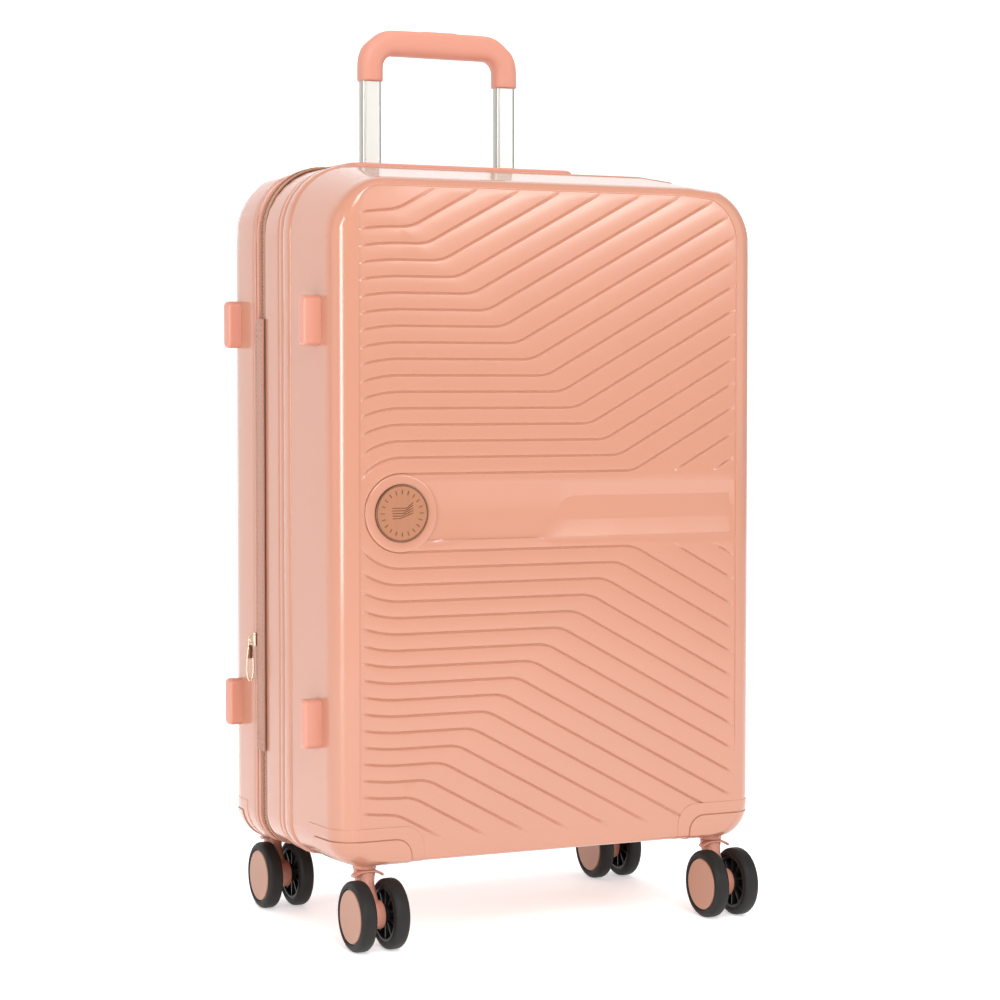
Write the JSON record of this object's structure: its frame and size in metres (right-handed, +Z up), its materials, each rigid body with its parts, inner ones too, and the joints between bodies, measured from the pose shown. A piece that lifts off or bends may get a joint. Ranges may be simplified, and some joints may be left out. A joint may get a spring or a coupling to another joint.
{
  "type": "hard shell suitcase",
  "caption": "Hard shell spinner suitcase with a telescopic handle, a fabric-hinged lid, side feet and twin-wheel swivel casters.",
  "frame": {"origin": "bottom centre of the bounding box, on the floor between the wheels", "axes": "+Z up, the grooved front faces -Y, the fabric hinge and side feet are on -X, the carry handle and lock on +X"},
  "size_m": [0.44, 0.285, 0.805],
  "materials": {
    "shell_plastic": "glossy moulded polypropylene, peach",
    "handle_plastic": "semi-gloss moulded polypropylene, peach",
    "lining_cloth": "woven polyester lining",
    "strap_webbing": "ribbed webbing with a moulded buckle",
    "zip_tape": "woven zip tape and hinge cloth",
    "zip_metal": "light gold plated zinc",
    "frame_plastic": "moulded polypropylene",
    "tube_aluminium": "satin anodised aluminium",
    "badge_metal": "rose gold lacquered zinc",
    "lock_plastic": "moulded plastic",
    "pin_steel": "zinc plated steel",
    "fork_plastic": "moulded nylon, peach",
    "tyre_rubber": "black thermoplastic rubber",
    "hub_plastic": "moulded nylon with a peach cap"
  },
  "bodies": {
    "back_half": {"back_shell": "shell_plastic", "back_lining": "lining_cloth", "packing_straps": "strap_webbing", "expander_zip": "zip_metal", "trolley_bezel": "shell_plastic", "trolley_guide_tubes": "tube_aluminium", "trolley_foot_bracket": "frame_plastic", "back_side_feet": "shell_plastic", "side_handle_cup": "frame_plastic", "back_caster_housings": "shell_plastic", "back_kingpins": "pin_steel"},
    "middle_band": {"mid_frame": "frame_plastic", "expander_gusset": "zip_tape", "back_zip_tape": "zip_tape"},
    "hinge_strip": {"hinge_panel": "zip_tape"},
    "lid": {"front_shell": "shell_plastic", "front_lining": "lining_cloth", "lid_pocket": "lining_cloth", "front_zip_tape": "zip_tape", "front_side_feet": "shell_plastic", "badge": "badge_metal", "lock_housing": "lock_plastic", "zip_pullers": "zip_metal", "front_caster_housings": "shell_plastic", "front_kingpins": "pin_steel"},
    "middle_stage": {"middle_tubes": "tube_aluminium"},
    "grip_stage": {"grip_tubes": "tube_aluminium", "grip": "handle_plastic"},
    "grip_key": {"grip_button": "handle_plastic"},
    "top_handle": {"top_carry_handle": "handle_plastic"},
    "side_handle": {"side_carry_handle": "handle_plastic"},
    "zip_pull": {"expander_pull": "zip_metal"},
    "release_key": {"lock_release": "lock_plastic"},
    "dial_1": {"lock_dial_1": "lock_plastic"},
    "dial_2": {"lock_dial_2": "lock_plastic"},
    "dial_3": {"lock_dial_3": "lock_plastic"},
    "front_left_caster": {"front_left_fork": "fork_plastic", "front_left_axle": "pin_steel"},
    "front_left_outer_wheel": {"front_left_outer_tyre": "tyre_rubber", "front_left_outer_hub": "hub_plastic"},
    "front_left_inner_wheel": {"front_left_inner_tyre": "tyre_rubber", "front_left_inner_hub": "hub_plastic"},
    "front_right_caster": {"front_right_fork": "fork_plastic", "front_right_axle": "pin_steel"},
    "front_right_outer_wheel": {"front_right_outer_tyre": "tyre_rubber", "front_right_outer_hub": "hub_plastic"},
    "front_right_inner_wheel": {"front_right_inner_tyre": "tyre_rubber", "front_right_inner_hub": "hub_plastic"},
    "back_left_caster": {"back_left_fork": "fork_plastic", "back_left_axle": "pin_steel"},
    "back_left_outer_wheel": {"back_left_outer_tyre": "tyre_rubber", "back_left_outer_hub": "hub_plastic"},
    "back_left_inner_wheel": {"back_left_inner_tyre": "tyre_rubber", "back_left_inner_hub": "hub_plastic"},
    "back_right_caster": {"back_right_fork": "fork_plastic", "back_right_axle": "pin_steel"},
    "back_right_outer_wheel": {"back_right_outer_tyre": "tyre_rubber", "back_right_outer_hub": "hub_plastic"},
    "back_right_inner_wheel": {"back_right_inner_tyre": "tyre_rubber", "back_right_inner_hub": "hub_plastic"}
  },
  "joints": [
    {"name": "expander_slide", "type": "slide", "parent": "back_half", "child": "middle_band", "axis": [0, -1, 0], "range_m": [0, 0.03]},
    {"name": "hinge_strip_fold", "type": "hinge", "parent": "middle_band", "child": "hinge_strip", "pos_m": [-0.2088, 0.0565, 0.343], "axis": [0, 0, -1], "range_deg": [0, 90]},
    {"name": "lid_open", "type": "hinge", "parent": "hinge_strip", "child": "lid", "pos_m": [-0.2088, 0.0395, 0.343], "axis": [0, 0, -1], "range_deg": [0, 90]},
    {"name": "middle_stage_slide", "type": "slide", "parent": "back_half", "child": "middle_stage", "axis": [0, 0, 1], "range_m": [0, 0.17]},
    {"name": "grip_slide", "type": "slide", "parent": "middle_stage", "child": "grip_stage", "axis": [0, 0, 1], "range_m": [-0.078, 0.15]},
    {"name": "grip_button_press", "type": "slide", "parent": "grip_stage", "child": "grip_key", "axis": [0, 0, -1], "range_m": [0, 0.003], "stiffness_N_per_m": 200, "springref_m": -0.001},
    {"name": "top_handle_lift", "type": "slide", "parent": "back_half", "child": "top_handle", "axis": [0, 0, 1], "range_m": [0, 0.02]},
    {"name": "side_handle_lift", "type": "slide", "parent": "back_half", "child": "side_handle", "axis": [1, 0, 0], "range_m": [0, 0.016], "stiffness_N_per_m": 150, "springref_m": -0.005},
    {"name": "expander_pull_swing", "type": "hinge", "parent": "back_half", "child": "zip_pull", "pos_m": [-0.2148, 0.0596, 0.25], "axis": [0, 1, 0], "range_deg": [0, 180]},
    {"name": "lock_release_slide", "type": "slide", "parent": "lid", "child": "release_key", "axis": [0, 0, 1], "range_m": [0, 0.004], "stiffness_N_per_m": 100, "springref_m": -0.002},
    {"name": "lock_dial_1_turn", "type": "hinge", "parent": "lid", "child": "dial_1", "pos_m": [0.2083, 0.0225, 0.372], "axis": [0, 0, 1], "continuous": true},
    {"name": "lock_dial_2_turn", "type": "hinge", "parent": "lid", "child": "dial_2", "pos_m": [0.2083, 0.0225, 0.382], "axis": [0, 0, 1], "continuous": true},
    {"name": "lock_dial_3_turn", "type": "hinge", "parent": "lid", "child": "dial_3", "pos_m": [0.2083, 0.0225, 0.392], "axis": [0, 0, 1], "continuous": true},
    {"name": "front_left_swivel", "type": "hinge", "parent": "lid", "child": "front_left_caster", "pos_m": [-0.17, -0.0925, 0.06], "axis": [0, 0, 1], "continuous": true},
    {"name": "front_left_outer_roll", "type": "hinge", "parent": "front_left_caster", "child": "front_left_outer_wheel", "pos_m": [-0.185, -0.1125, 0.03], "axis": [1, 0, 0], "continuous": true},
    {"name": "front_left_inner_roll", "type": "hinge", "parent": "front_left_caster", "child": "front_left_inner_wheel", "pos_m": [-0.155, -0.1125, 0.03], "axis": [1, 0, 0], "continuous": true},
    {"name": "front_right_swivel", "type": "hinge", "parent": "lid", "child": "front_right_caster", "pos_m": [0.17, -0.0925, 0.06], "axis": [0, 0, 1], "continuous": true},
    {"name": "front_right_outer_roll", "type": "hinge", "parent": "front_right_caster", "child": "front_right_outer_wheel", "pos_m": [0.185, -0.1125, 0.03], "axis": [1, 0, 0], "continuous": true},
    {"name": "front_right_inner_roll", "type": "hinge", "parent": "front_right_caster", "child": "front_right_inner_wheel", "pos_m": [0.155, -0.1125, 0.03], "axis": [1, 0, 0], "continuous": true},
    {"name": "back_left_swivel", "type": "hinge", "parent": "back_half", "child": "back_left_caster", "pos_m": [-0.17, 0.1215, 0.06], "axis": [0, 0, 1], "continuous": true},
    {"name": "back_left_outer_roll", "type": "hinge", "parent": "back_left_caster", "child": "back_left_outer_wheel", "pos_m": [-0.185, 0.1015, 0.03], "axis": [1, 0, 0], "continuous": true},
    {"name": "back_left_inner_roll", "type": "hinge", "parent": "back_left_caster", "child": "back_left_inner_wheel", "pos_m": [-0.155, 0.1015, 0.03], "axis": [1, 0, 0], "continuous": true},
    {"name": "back_right_swivel", "type": "hinge", "parent": "back_half", "child": "back_right_caster", "pos_m": [0.17, 0.1215, 0.06], "axis": [0, 0, 1], "continuous": true},
    {"name": "back_right_outer_roll", "type": "hinge", "parent": "back_right_caster", "child": "back_right_outer_wheel", "pos_m": [0.185, 0.1015, 0.03], "axis": [1, 0, 0], "continuous": true},
    {"name": "back_right_inner_roll", "type": "hinge", "parent": "back_right_caster", "child": "back_right_inner_wheel", "pos_m": [0.155, 0.1015, 0.03], "axis": [1, 0, 0], "continuous": true}
  ],
  "couplings": [
    {"joint": "hinge_strip_fold", "follows": "lid_open", "ratio": 1}
  ]
}
